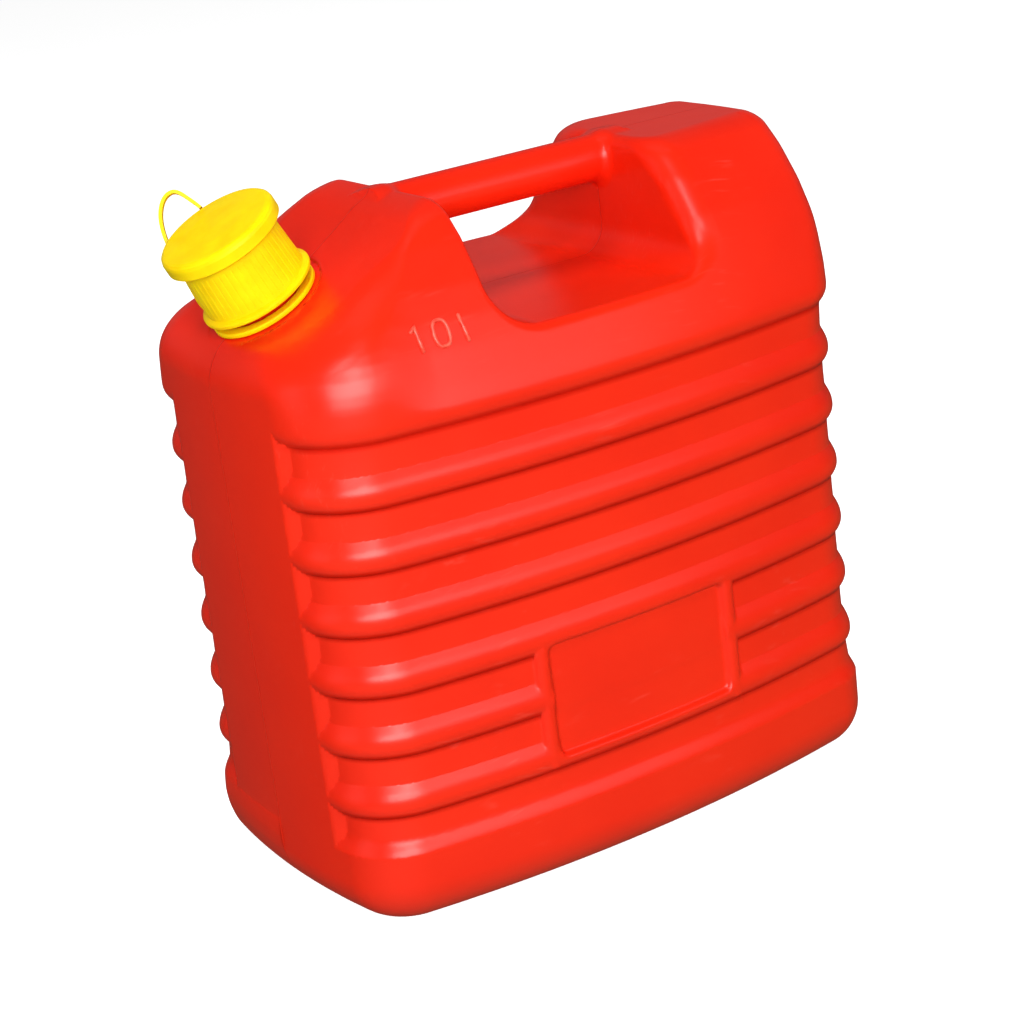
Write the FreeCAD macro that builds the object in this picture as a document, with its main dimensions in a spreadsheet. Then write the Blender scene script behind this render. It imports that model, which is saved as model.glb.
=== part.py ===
import FreeCAD, Part
import math
import os
import Sketcher

V = FreeCAD.Vector
doc = FreeCAD.newDocument("gas_can")

# ---------------------------------------------------------------- dimensions
SIZES = [
    ("overall_len", 282.0), ("overall_wid", 175.0), ("overall_top", 297.0),
    ("wide_rad", 675.0), ("narrow_rad", 380.0), ("corner_rad", 30.0),
    ("bottom_rad", 20.0), ("wall", 2.2),
    ("sh_z", 222.4),
    ("sh1_z", 244.0), ("sh1_len", 281.0), ("sh1_wid", 160.4), ("sh1_rad", 26.0),
    ("sh2_z", 267.0), ("sh2_len", 277.6), ("sh2_wid", 139.4), ("sh2_rad", 24.0),
    ("sh3_z", 283.0), ("sh3_len", 273.4), ("sh3_wid", 118.4), ("sh3_rad", 21.5),
    ("sh4_len", 270.0), ("sh4_wid", 91.0), ("sh4_rad", 19.0),
    ("rib_pitch", 27.0), ("rib_line", 214.45), ("rib_half", 8.1), ("rib_depth", 2.85),
    ("panel_band", 10.8),
    ("floor_z", 244.4), ("recess_x0", -46.0), ("recess_x1", 62.0),
    ("recess_rad", 20.5), ("recess_rad_b", 13.0), ("handle_z", 286.95), ("handle_rad", 10.35),
    ("frame_x", 45.9), ("frame_bar", 7.2), ("frame_z0", 58.7), ("frame_z1", 109.6),
    ("neck_x", -109.9), ("neck_z", 261.8), ("neck_tilt", 26.3),
    ("neck_bore", 16.2), ("neck_root", 18.2), ("neck_crest", 19.6), ("neck_top", 27.0),
    ("thread_pitch", 4.0), ("neck_thread_s", 9.0), ("neck_thread_len", 13.0),
    ("collar_in", 20.1), ("collar_crest", 18.7), ("collar_s0", 6.1), ("collar_rim_r", 25.3),
    ("collar_low_r", 23.1), ("collar_top_r", 22.1), ("collar_panel_s", 30.6),
    ("collar_panel_t", 2.1), ("collar_hole", 15.2), ("collar_up_in", 19.7), ("collar_up_s", 36.4),
    ("gasket_in", 15.2), ("gasket_out", 18.3), ("gasket_s", 27.1), ("gasket_t", 1.1),
    ("flange_r", 18.9), ("flange_s", 28.3), ("flange_t", 2.1),
    ("tube_top_r", 14.7), ("tube_tip_r", 9.2), ("tube_wall", 1.7), ("tube_step_s", -22.0),
    ("tube_tip_s", -104.0),
    ("lid_r", 26.4), ("lid_in", 24.0), ("lid_s0", 32.5), ("lid_s1", 40.0), ("lid_t", 2.1),
    ("plug_out", 19.3), ("plug_in", 17.2), ("plug_s", 33.3),
    ("seal_in", 19.8), ("seal_out", 22.2), ("seal_t", 1.0),
    ("ring_in", 19.3), ("ring_out", 24.0), ("ring_s", 0.15), ("ring_t", 2.2),
    ("strap_t", 1.5), ("strap_w", 4.4),
]
sheet = doc.addObject("Spreadsheet::Sheet", "dims")
for i, (alias, val) in enumerate(SIZES):
    sheet.set("A%d" % (i + 1), alias)
    sheet.set("B%d" % (i + 1), repr(val))
    sheet.setAlias("B%d" % (i + 1), alias)
doc.recompute()
D = {alias: float(sheet.get(alias)) for alias, _ in SIZES}


class Q:
    """A size taken from the sheet together with the expression that gives it."""
    def __init__(self, v, e):
        self.v, self.e = float(v), e

    def __add__(self, o):
        o = q(o)
        return Q(self.v + o.v, "(%s + %s)" % (self.e, o.e))

    def __sub__(self, o):
        o = q(o)
        return Q(self.v - o.v, "(%s - %s)" % (self.e, o.e))

    def __mul__(self, o):
        o = q(o)
        return Q(self.v * o.v, "(%s * %s)" % (self.e, o.e))


def q(x):
    if isinstance(x, Q):
        return x
    if isinstance(x, str):
        return Q(D[x], "dims." + x)
    return Q(x, repr(float(x)))


# ---------------------------------------------------------------- sketch helpers
def new_body(name):
    b = doc.addObject("PartDesign::Body", name)
    b.Label = name
    return b


def plane_of(body, role):
    for o in body.Origin.OriginFeatures:
        if o.Role == role:
            return o


def new_sketch(body, name, role="XY_Plane", off=0.0, place=None):
    sk = body.newObject("Sketcher::SketchObject", name)
    sk.AttachmentSupport = [(plane_of(body, role), "")]
    sk.MapMode = "FlatFace"
    if place is not None:
        sk.AttachmentOffset = place
    elif isinstance(off, Q):
        sk.AttachmentOffset = FreeCAD.Placement(V(0, 0, off.v), FreeCAD.Rotation())
        sk.setExpression("AttachmentOffset.Base.z", off.e)
    elif off:
        sk.AttachmentOffset = FreeCAD.Placement(V(0, 0, off), FreeCAD.Rotation())
    return sk


def bind(sk, kind, args, size, name):
    size = q(size)
    idx = sk.addConstraint(Sketcher.Constraint(kind, *args, size.v))
    sk.renameConstraint(idx, name)
    if "dims." in size.e:
        sk.setExpression("Constraints." + name, size.e)


def polygon(sk, pts, tag="p"):
    """Closed polygon whose corners are bound to sheet sizes."""
    pts = [(q(a), q(b)) for a, b in pts]
    n = len(pts)
    g = []
    for i in range(n):
        a, b = pts[i], pts[(i + 1) % n]
        g.append(sk.addGeometry(Part.LineSegment(V(a[0].v, a[1].v, 0), V(b[0].v, b[1].v, 0)), False))
    for i in range(n):
        sk.addConstraint(Sketcher.Constraint("Coincident", g[i], 2, g[(i + 1) % n], 1))
    for i, (a, b) in enumerate(pts):
        if abs(a.v) < 1e-9:
            sk.addConstraint(Sketcher.Constraint("PointOnObject", g[i], 1, -2))
        else:
            bind(sk, "DistanceX", (-1, 1, g[i], 1), a, "%sx%d" % (tag, i))
        if abs(b.v) < 1e-9:
            sk.addConstraint(Sketcher.Constraint("PointOnObject", g[i], 1, -1))
        else:
            bind(sk, "DistanceY", (-1, 1, g[i], 1), b, "%sy%d" % (tag, i))
    return g


def plan_numbers(length, width, rw, rn, r):
    """Centre of the corner arcs tangent to bulged wide and narrow sides."""
    xc, yc = length / 2 - rn, width / 2 - rw
    a, b = length / 2 - r - 4, width / 2 - r - 8
    for _ in range(60):
        f1 = a * a + (b - yc) ** 2 - (rw - r) ** 2
        f2 = (a - xc) ** 2 + b * b - (rn - r) ** 2
        j11, j12, j21, j22 = 2 * a, 2 * (b - yc), 2 * (a - xc), 2 * b
        det = j11 * j22 - j12 * j21
        a, b = a - (f1 * j22 - f2 * j12) / det, b - (j11 * f2 - j21 * f1) / det
    t_wide = math.atan2(b - yc, a)
    t_narrow = math.atan2(b, a - xc)
    return a, b, t_wide, t_narrow


def arc(cx, cy, r, t0, t1):
    return Part.ArcOfCircle(Part.Circle(V(cx, cy, 0), V(0, 0, 1), r), t0, t1)


def plan_loop(sk, length, width, rw, rn, r):
    """Rounded, slightly bulged outline made of eight tangent arcs, fully bound."""
    length, width, rw, rn, r = q(length), q(width), q(rw), q(rn), q(r)
    a, b, tw, tn = plan_numbers(length.v, width.v, rw.v, rn.v, r.v)
    xc, yc = length.v / 2 - rn.v, width.v / 2 - rw.v
    pi = math.pi
    g = [
        sk.addGeometry(arc(xc, 0, rn.v, -tn, tn), False),
        sk.addGeometry(arc(a, b, r.v, tn, tw), False),
        sk.addGeometry(arc(0, yc, rw.v, tw, pi - tw), False),
        sk.addGeometry(arc(-a, b, r.v, pi - tw, pi - tn), False),
        sk.addGeometry(arc(-xc, 0, rn.v, pi - tn, pi + tn), False),
        sk.addGeometry(arc(-a, -b, r.v, pi + tn, pi + tw), False),
        sk.addGeometry(arc(0, -yc, rw.v, pi + tw, 2 * pi - tw), False),
        sk.addGeometry(arc(a, -b, r.v, 2 * pi - tw, 2 * pi - tn), False),
    ]
    for i in range(8):
        sk.addConstraint(Sketcher.Constraint("Tangent", g[i], 2, g[(i + 1) % 8], 1))
    sk.addConstraint(Sketcher.Constraint("PointOnObject", g[0], 3, -1))
    sk.addConstraint(Sketcher.Constraint("PointOnObject", g[4], 3, -1))
    sk.addConstraint(Sketcher.Constraint("PointOnObject", g[2], 3, -2))
    sk.addConstraint(Sketcher.Constraint("PointOnObject", g[6], 3, -2))
    for i in (3, 5, 7):
        sk.addConstraint(Sketcher.Constraint("Equal", g[1], g[i]))
    sk.addConstraint(Sketcher.Constraint("Equal", g[0], g[4]))
    sk.addConstraint(Sketcher.Constraint("Equal", g[2], g[6]))
    bind(sk, "Radius", (g[0],), rn, "narrow")
    bind(sk, "Radius", (g[1],), r, "corner")
    bind(sk, "Radius", (g[2],), rw, "wide")
    bind(sk, "DistanceX", (-1, 1, g[0], 3), length * 0.5 - rn, "ncx")
    bind(sk, "DistanceX", (g[4], 3, -1, 1), length * 0.5 - rn, "ncx2")
    bind(sk, "DistanceY", (-1, 1, g[2], 3), width * 0.5 - rw, "wcy")
    bind(sk, "DistanceY", (g[6], 3, -1, 1), width * 0.5 - rw, "wcy2")
    return a, b, tw, tn


def chain(sk, items):
    """Closed chain of ('line', p, q) and ('arc', centre, radius, t0, t1) pieces."""
    ids = []
    for it in items:
        if it[0] == "line":
            ids.append((sk.addGeometry(Part.LineSegment(V(*it[1], 0), V(*it[2], 0)), False), 1, 2))
        else:
            _, c, r, t0, t1 = it
            lo, hi = (t0, t1) if t1 > t0 else (t1, t0)
            gid = sk.addGeometry(arc(c[0], c[1], r, lo, hi), False)
            ids.append((gid, 1, 2) if t1 > t0 else (gid, 2, 1))
    for k in range(len(ids)):
        a, b = ids[k], ids[(k + 1) % len(ids)]
        sk.addConstraint(Sketcher.Constraint("Coincident", a[0], a[2], b[0], b[1]))
    return [i[0] for i in ids]


def pad(body, sk, name, length, **kw):
    f = body.newObject("PartDesign::Pad", name)
    f.Profile = sk
    length = q(length)
    f.Length = length.v
    if "dims." in length.e:
        f.setExpression("Length", length.e)
    for k, v in kw.items():
        setattr(f, k, v)
    sk.Visibility = False
    return f


def through(body, sk, name, both=True):
    f = body.newObject("PartDesign::Pocket", name)
    f.Profile = sk
    f.Type = 1
    f.Midplane = both
    return f


def revolve(body, sk, name):
    f = body.newObject("PartDesign::Revolution", name)
    f.Profile = sk
    f.ReferenceAxis = (plane_of(body, "Z_Axis"), [""])
    f.Angle = 360
    return f


def fillet_where(body, base, name, radius, test):
    """Fillet the edges of base whose middle satisfies the test."""
    doc.recompute()
    names = []
    for i, e in enumerate(base.Shape.Edges):
        p = e.valueAt((e.FirstParameter + e.LastParameter) / 2)
        if test(p, e):
            names.append("Edge%d" % (i + 1))
    f = body.newObject("PartDesign::Fillet", name)
    f.Base = (base, names)
    radius = q(radius)
    f.Radius = radius.v
    if "dims." in radius.e:
        f.setExpression("Radius", radius.e)
    doc.recompute()
    print(name, len(names), f.State, f.Shape.isValid() if not f.Shape.isNull() else None)
    return f


# ---------------------------------------------------------------- canister shell
def shell(tag, off):
    """Outer form (off 0) or the hollow inside it (off = wall)."""
    b = new_body("canister_" + tag)
    w2 = off * 2
    foot = new_sketch(b, "plan_" + tag, off=off)
    plan_loop(foot, q("overall_len") - w2, q("overall_wid") - w2, q("wide_rad") - off,
              q("narrow_rad") - off, q("corner_rad") - off)
    main = pad(b, foot, "wall_" + tag, q("sh_z") - off)
    last = fillet_where(b, main, "base_round_" + tag, q("bottom_rad") - off,
                        lambda p, e: abs(p.z - off.v) < 1e-3)
    # shoulders: a loft through narrowing outlines
    secs = []
    levels = [(q("sh_z"), q("overall_len"), q("overall_wid"), q("corner_rad")),
              (q("sh1_z"), q("sh1_len"), q("sh1_wid"), q("sh1_rad")),
              (q("sh2_z"), q("sh2_len"), q("sh2_wid"), q("sh2_rad")),
              (q("sh3_z"), q("sh3_len"), q("sh3_wid"), q("sh3_rad")),
              (q("overall_top") - off, q("sh4_len"), q("sh4_wid"), q("sh4_rad"))]
    for k, (z, ln, wd, r) in enumerate(levels):
        grow = [1.0, 1.06, 1.15, 1.3, 1.42][k]
        sk = new_sketch(b, "ring%d_%s" % (k, tag), off=z)
        plan_loop(sk, ln - w2, wd - w2 * grow, q("wide_rad") - off, q("narrow_rad") - off, r - off)
        secs.append(sk)
    loft = b.newObject("PartDesign::AdditiveLoft", "shoulder_" + tag)
    loft.Profile = secs[0]
    loft.Sections = secs[1:]
    loft.Ruled = False
    doc.recompute()
    print("loft", tag, loft.State, loft.Shape.Volume)
    o = off.v
    # neck slope, hump ridge: everything above this line goes
    t = math.radians(D["neck_tilt"])
    nx, nz = -math.sin(t), math.cos(t)
    px, pz = D["neck_x"] - o * nx, D["neck_z"] - o * nz
    xl = -D["overall_len"] / 2 + o
    rr = 24.0 - o
    # rounding tangent to the end wall and to the neck platform
    cx = xl + rr
    cz = pz + (cx - px) * math.tan(t) - rr / math.cos(t)
    e1 = (cx - rr * math.sin(t), cz + rr * math.cos(t))
    x2 = -89.5 - 0.2 * o
    e2 = (x2, pz + (x2 - px) * math.tan(t))
    s36 = math.radians(36.0)
    ztop = D["overall_top"] - o
    x3 = e2[0] + (ztop + 6 - e2[1]) / math.tan(s36)
    sk = new_sketch(b, "slope_" + tag, "XZ_Plane")
    chain(sk, [("line", (-200, cz), (xl, cz)),
               ("arc", (cx, cz), rr, math.pi, math.pi / 2 + t),
               ("line", e1, e2),
               ("line", e2, (x3, ztop + 6)),
               ("line", (x3, ztop + 6), (-200, ztop + 6)),
               ("line", (-200, ztop + 6), (-200, cz))])
    cut1 = through(b, sk, "neck_slope_" + tag)
    doc.recompute()
    # recess under the handle
    x0, x1, zf, r = D["recess_x0"] - o, D["recess_x1"] + o, D["floor_z"] - o, D["recess_rad"] + o
    r2 = D["recess_rad_b"] + o
    zt = D["overall_top"] + 8
    sk = new_sketch(b, "recess_" + tag, "XZ_Plane")
    ids = chain(sk, [("line", (x0, zt), (x0, zf + r)),
                     ("arc", (x0 + r, zf + r), r, math.pi, 1.5 * math.pi),
                     ("line", (x0 + r, zf), (x1 - r2, zf)),
                     ("arc", (x1 - r2, zf + r2), r2, -math.pi / 2, 0),
                     ("line", (x1, zf + r2), (x1, zt)),
                     ("line", (x1, zt), (x0, zt))])
    for i in (0, 4):
        sk.addConstraint(Sketcher.Constraint("Vertical", ids[i]))
    for i in (2, 5):
        sk.addConstraint(Sketcher.Constraint("Horizontal", ids[i]))
    cut2 = through(b, sk, "handle_recess_" + tag)
    doc.recompute()
    print("cuts", tag, cut1.State, cut2.State, cut2.Shape.Volume, cut2.Shape.isValid(), len(cut2.Shape.Solids))
    return b, cut2, (px, pz)



def mid(e):
    return e.valueAt((e.FirstParameter + e.LastParameter) / 2)


def groove_path(b, tag):
    """Line the rib grooves follow: front face, both corners, then out of the end faces."""
    a, c, tw, tn = plan_numbers(D["overall_len"], D["overall_wid"], D["wide_rad"], D["narrow_rad"], D["corner_rad"])
    r, pi = D["corner_rad"], math.pi
    tend = tn + math.radians(3.0)
    sk = new_sketch(b, "groove_path_" + tag)
    yc = D["wide_rad"] - D["overall_wid"] / 2
    # end points and the straight run-outs
    pr = (a + r * math.cos(tend), -c - r * math.sin(tend))
    dr = (math.sin(tend), math.cos(tend))
    run = 26.0
    qr = (pr[0] + dr[0] * run, pr[1] + dr[1] * run)
    g = [sk.addGeometry(Part.LineSegment(V(-qr[0], qr[1], 0), V(-pr[0], pr[1], 0)), False),
         sk.addGeometry(arc(-a, -c, r, pi + tend, pi + tw), False),
         sk.addGeometry(arc(0, yc, D["wide_rad"], pi + tw, 2 * pi - tw), False),
         sk.addGeometry(arc(a, -c, r, 2 * pi - tw, 2 * pi - tend), False),
         sk.addGeometry(Part.LineSegment(V(*pr, 0), V(*qr, 0)), False)]
    for k in range(4):
        sk.addConstraint(Sketcher.Constraint("Tangent", g[k], 2, g[k + 1], 1))
    bind(sk, "Radius", (g[2],), "wide_rad", "wide")
    return sk, (-qr[0], qr[1]), dr


def grooves(b, tag, tip, o):
    """Seven sunk bands between the ribs, cut along the wide faces and round the corners."""
    path, start, d = groove_path(b, tag)
    dep, half, band = D["rib_depth"], D["rib_half"], D["panel_band"]
    # section plane at the start of the path, square to it; sketch x runs outwards, y up
    udir = V(-d[1], -d[0], 0)
    sec = new_sketch(b, "groove_section_" + tag, place=FreeCAD.Placement(V(start[0], start[1], 0), FreeCAD.Rotation(udir, V(0, 0, 1), V(), "XYZ")))
    rb0 = (half * half + (dep + 0.08) ** 2) / (2 * (dep + 0.08))
    cu, rb = 0.08 - rb0, rb0 - o
    z0 = D["rib_line"]
    out = 8.0
    up, dn = z0 + half, z0 - band - half
    # flat land left on each crest, and where the flanks meet the sunk band
    land = math.sqrt(rb * rb - (-o - cu) ** 2)
    foot = math.sqrt(rb * rb - (-dep - o - cu) ** 2)
    a_in, a_out = -math.asin(foot / rb), -math.asin(land / rb)
    za, zb = up - land, dn + land
    items = [("line", (out, zb), (out, za)),
             ("line", (out, za), (-o, za)),
             ("arc", (cu, up), rb, a_out, a_in),
             ("line", (-dep - o, up - foot), (-dep - o, dn + foot)),
             ("arc", (cu, dn), rb, -a_in, -a_out),
             ("line", (-o, zb), (out, zb))]
    ids = chain(sec, items)
    sec.addConstraint(Sketcher.Constraint("Vertical", ids[0]))
    sec.addConstraint(Sketcher.Constraint("Vertical", ids[3]))
    bind(sec, "DistanceX", (ids[3], 1, -1, 1), q("rib_depth") + o, "sink")
    b.Tip = tip
    f = b.newObject("PartDesign::SubtractivePipe", "groove_" + tag)
    f.Profile = sec
    f.Spine = path
    f.Mode = 0
    f.Transition = 0
    doc.recompute()
    print("groove", f.State, f.Shape.Volume)
    mt = b.newObject("PartDesign::MultiTransform", "groove_set_" + tag)
    mt.Originals = [f]
    lp = b.newObject("PartDesign::LinearPattern", "groove_rows_" + tag)
    lp.Direction = (plane_of(b, "Z_Axis"), [""])
    lp.Reversed = True
    lp.Length = D["rib_pitch"] * 6
    lp.setExpression("Length", "dims.rib_pitch * 6")
    lp.Occurrences = 7
    mi = b.newObject("PartDesign::Mirrored", "groove_sides_" + tag)
    mi.MirrorPlane = (plane_of(b, "XZ_Plane"), [""])
    mt.Transformations = [lp, mi]
    b.Tip = mt
    doc.recompute()
    print("grooves", mt.State, mt.Shape.Volume, mt.Shape.isValid(), len(mt.Shape.Solids))
    return mt


off0, offw = Q(0.0, "0.0"), q("wall")
outer, top0, plat = shell("outer", off0)
x1, x0, W2 = D["recess_x1"], D["recess_x0"], D["overall_top"]
f = fillet_where(outer, top0, "slope_round", 18.0,
                 lambda p, e: p.x < -60 and abs(p.y) > 45 and p.z > 225 and e.Length > 5 and abs(p.z - 262.2) > 0.2)
f = fillet_where(outer, f, "hump_round", 4.0,
                 lambda p, e: (p.x < -44 and p.z > 296.5) or (abs(p.x - x0) < 0.3 and abs(p.y) > 40 and p.z < 296))


f = fillet_where(outer, f, "block_round", 5.0,
                 lambda p, e: p.x > 60 and p.z > 296.5 and e.Length > 12)

g = grooves(outer, "outer", f, 0.0)

# ---- label panel: rib run stopped by a frame on the front face
fx, fb = D["frame_x"], D["frame_bar"]
rw, yc = D["wide_rad"], D["wide_rad"] - D["overall_wid"] / 2
dep = D["rib_depth"]


def face_y(x, sink=0.0):
    return yc - math.sqrt((rw - sink) ** 2 - x * x)


def label_band(b, tag, shift):
    """Pocket for the label that follows the bulge of the face."""
    half = fx - shift
    ang = math.asin(half / rw)
    path = new_sketch(b, "label_path_" + tag)
    path.addGeometry(arc(0, yc, rw, 1.5 * math.pi - ang, 1.5 * math.pi + ang), False)
    path.addConstraint(Sketcher.Constraint("PointOnObject", 0, 3, -2))
    bind(path, "Radius", (0,), "wide_rad", "wide")
    p = (rw * math.cos(1.5 * math.pi - ang), yc + rw * math.sin(1.5 * math.pi - ang))
    n = V(math.cos(1.5 * math.pi - ang), math.sin(1.5 * math.pi - ang), 0)
    sec = new_sketch(b, "label_section_" + tag, place=FreeCAD.Placement(
        V(p[0], p[1], 0), FreeCAD.Rotation(n, V(0, 0, 1), V(), "XYZ")))
    polygon(sec, [(q("rib_depth") * -1.0 + shift, q("frame_z0") + shift), (6.0, q("frame_z0") + shift),
                  (6.0, q("frame_z1") - shift), (q("rib_depth") * -1.0 + shift, q("frame_z1") - shift)])
    f = b.newObject("PartDesign::SubtractivePipe", "label_panel_" + tag)
    f.Profile = sec
    f.Spine = path
    doc.recompute()
    print("label", f.State, f.Shape.Volume)
    return f


label_band(outer, "outer", 0.0)
bars = new_sketch(outer, "label_bars", off=q("frame_z0") - 4.0)
for sgn in (-1, 1):
    a0, a1 = sgn * fx, sgn * (fx + fb)
    m = (a0 + a1) / 2
    lo, hi = min(a0, a1), max(a0, a1)
    yb0, yb1, yt = face_y(lo, dep) + 1.2, face_y(hi, dep) + 1.2, face_y(m) + 0.05
    gl = [bars.addGeometry(Part.LineSegment(V(lo, yb0, 0), V(hi, yb1, 0)), False),
          bars.addGeometry(Part.LineSegment(V(hi, yb1, 0), V(hi, face_y(hi, dep) - 0.4, 0)), False),
          bars.addGeometry(Part.Arc(V(hi, face_y(hi, dep) - 0.4, 0), V(m, yt, 0), V(lo, face_y(lo, dep) - 0.4, 0)), False),
          bars.addGeometry(Part.LineSegment(V(lo, face_y(lo, dep) - 0.4, 0), V(lo, yb0, 0)), False)]
pad(outer, bars, "label_frame", q("frame_z1") - q("frame_z0") + 8.0)
doc.recompute()
print("bars", outer.Tip.Label, outer.Tip.State, outer.Tip.Shape.Volume, len(outer.Tip.Shape.Solids))

# ---- handle across the recess
hs = new_sketch(outer, "handle_section", "YZ_Plane", off=q("recess_x0") - 6.0)
cid = hs.addGeometry(Part.Circle(V(0, D["handle_z"], 0), V(0, 0, 1), D["handle_rad"]), False)
hs.addConstraint(Sketcher.Constraint("PointOnObject", cid, 3, -2))
bind(hs, "DistanceY", (-1, 1, cid, 3), "handle_z", "z")
bind(hs, "Radius", (cid,), "handle_rad", "tube")
hp = pad(outer, hs, "handle", q("recess_x1") - q("recess_x0") + 12.0)
doc.recompute()
print("handle", hp.State, hp.Shape.Volume, len(hp.Shape.Solids), hp.Shape.isValid())
hf = fillet_where(outer, hp, "handle_root", 4.5,
                  lambda p, e: (abs(p.x - D["recess_x0"]) < 1.5 or abs(p.x - D["recess_x1"]) < 1.5)
                  and abs(p.y) < 12 and 270 < p.z < 299)

# ---- capacity figures on the upper front face: a one, a zero and a letter l, in thin relief
lean, turn = math.radians(27.0), math.radians(6.0)
mu = V(math.cos(turn), -math.sin(turn), 0)
mw = V(math.sin(turn) * math.sin(lean), math.cos(turn) * math.sin(lean), math.cos(lean))
mn = mu.cross(mw)
mark_at = FreeCAD.Placement(V(-70.0, -73.6, 251.6) - mn * 1.4, FreeCAD.Rotation(mu, mw, V(), "XYZ"))
ms = new_sketch(outer, "capacity_strokes", place=mark_at)
for x, kind in ((-11.5, "one"), (0.4, "zero"), (10.8, "ell")):
    if kind == "zero":
        for rx in (0.0, 1.3):
            hw, hh = 4.4 - rx, 7.2 - rx
            ids = [ms.addGeometry(Part.LineSegment(V(x - hw, -hh + hw, 0), V(x - hw, hh - hw, 0)), False),
                   ms.addGeometry(arc(x, hh - hw, hw, 0, math.pi), False),
                   ms.addGeometry(Part.LineSegment(V(x + hw, hh - hw, 0), V(x + hw, -hh + hw, 0)), False),
                   ms.addGeometry(arc(x, -hh + hw, hw, math.pi, 2 * math.pi), False)]
    else:
        w, top = (0.9, 7.2) if kind == "one" else (0.7, 7.2)
        pts = [(x - w, -7.2), (x + w, -7.2), (x + w, top), (x - w, top)]
        if kind == "one":
            pts = [(x - w, -7.2), (x + w, -7.2), (x + w, top), (x - w * 0.6, top), (x - 3.6, 4.2), (x - 3.2, 2.6), (x - w, 4.4)]
        for k in range(len(pts)):
            a0, a1 = pts[k], pts[(k + 1) % len(pts)]
            ms.addGeometry(Part.LineSegment(V(a0[0], a0[1], 0), V(a1[0], a1[1], 0)), False)
mk = outer.newObject("PartDesign::Pad", "capacity_mark")
mk.Profile = ms
mk.Length = 2.1
mk.Midplane = False
doc.recompute()
print("mark", mk.State, mk.Shape.Volume - hf.Shape.Volume, len(mk.Shape.Solids), mk.Shape.isValid())

# ---- hollow inside the canister
inner, itop, _ = shell("hollow", offw)
h1 = fillet_where(inner, itop, "slope_round_hollow", 16.0,
                  lambda p, e: p.x < -60 and abs(p.y) > 43 and p.z > 225 and e.Length > 5 and abs(p.z - 262.2) > 1.5)
gi = grooves(inner, "hollow", h1, D["wall"])
label_band(inner, "hollow", -D["wall"])

# ---- neck with its outside thread, built upright and then tilted
tilt = FreeCAD.Placement(V(D["neck_x"], 0, D["neck_z"]), FreeCAD.Rotation(V(0, 1, 0), -D["neck_tilt"]))


def helix(body, name, base_r, crest_r, s0, turns, wide, narrow, bury):
    sk = new_sketch(body, name + "_tooth", "XZ_Plane")
    base_r, crest_r, s0 = q(base_r), q(crest_r), q(s0)
    polygon(sk, [(base_r - bury, s0 - wide / 2), (crest_r, s0 - narrow / 2),
                 (crest_r, s0 + narrow / 2), (base_r - bury, s0 + wide / 2)])
    f = body.newObject("PartDesign::AdditiveHelix", name)
    f.Profile = sk
    f.ReferenceAxis = (plane_of(body, "Z_Axis"), [""])
    f.Mode = 1
    f.Pitch = D["thread_pitch"]
    f.setExpression("Pitch", "dims.thread_pitch")
    f.Turns = turns
    f.LeftHanded = False
    f.Reversed = False
    doc.recompute()
    print(name, f.State, f.Shape.Volume, len(f.Shape.Solids), f.Shape.isValid(), f.Shape.BoundBox.ZMin, f.Shape.BoundBox.ZMax)
    return f


neck = new_body("neck_tube")
sk = new_sketch(neck, "neck_section", "XZ_Plane")
polygon(sk, [(q("neck_bore") - 2.0, -6.0), ("neck_root", -6.0), ("neck_root", q("neck_top") - 0.5),
             (q("neck_root") - 0.5, "neck_top"), (q("neck_bore") - 2.0, "neck_top")])
revolve(neck, sk, "neck_wall")
doc.recompute()
helix(neck, "neck_thread", "neck_root", "neck_crest", "neck_thread_s", 3.25, 2.0, 1.0, 0.3)
neck.Placement = tilt
bore = new_body("neck_bore")
sk = new_sketch(bore, "bore_section", "XZ_Plane")
polygon(sk, [(0.0, -12.0), ("neck_bore", -12.0), ("neck_bore", q("neck_top") + 2.0), (0.0, q("neck_top") + 2.0)])
revolve(bore, sk, "bore")
bore.Placement = tilt
grip = new_body("grip_hollow")
sk = new_sketch(grip, "grip_section", "YZ_Plane", off=q("recess_x0") - q("wall") - 3.0)
cid = sk.addGeometry(Part.Circle(V(0, D["handle_z"], 0), V(0, 0, 1), D["handle_rad"] - D["wall"]), False)
sk.addConstraint(Sketcher.Constraint("PointOnObject", cid, 3, -2))
bind(sk, "DistanceY", (-1, 1, cid, 3), "handle_z", "z")
bind(sk, "Radius", (cid,), q("handle_rad") - q("wall"), "tube")
pad(grip, sk, "grip", q("recess_x1") - q("recess_x0") + q("wall") * 2.0 + 6.0)
doc.recompute()

skin = doc.addObject("Part::MultiFuse", "canister_skin")
skin.Shapes = [outer, neck]
void = doc.addObject("Part::MultiFuse", "canister_void")
void.Shapes = [inner, bore, grip]
can = doc.addObject("Part::Cut", "canister")
can.Base, can.Tool = skin, void
can.Label = "canister"
doc.recompute()
print("canister", can.State, can.Shape.isValid(), len(can.Shape.Solids), can.Shape.Volume, "void", void.Shape.Volume, len(void.Shape.Solids))

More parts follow.
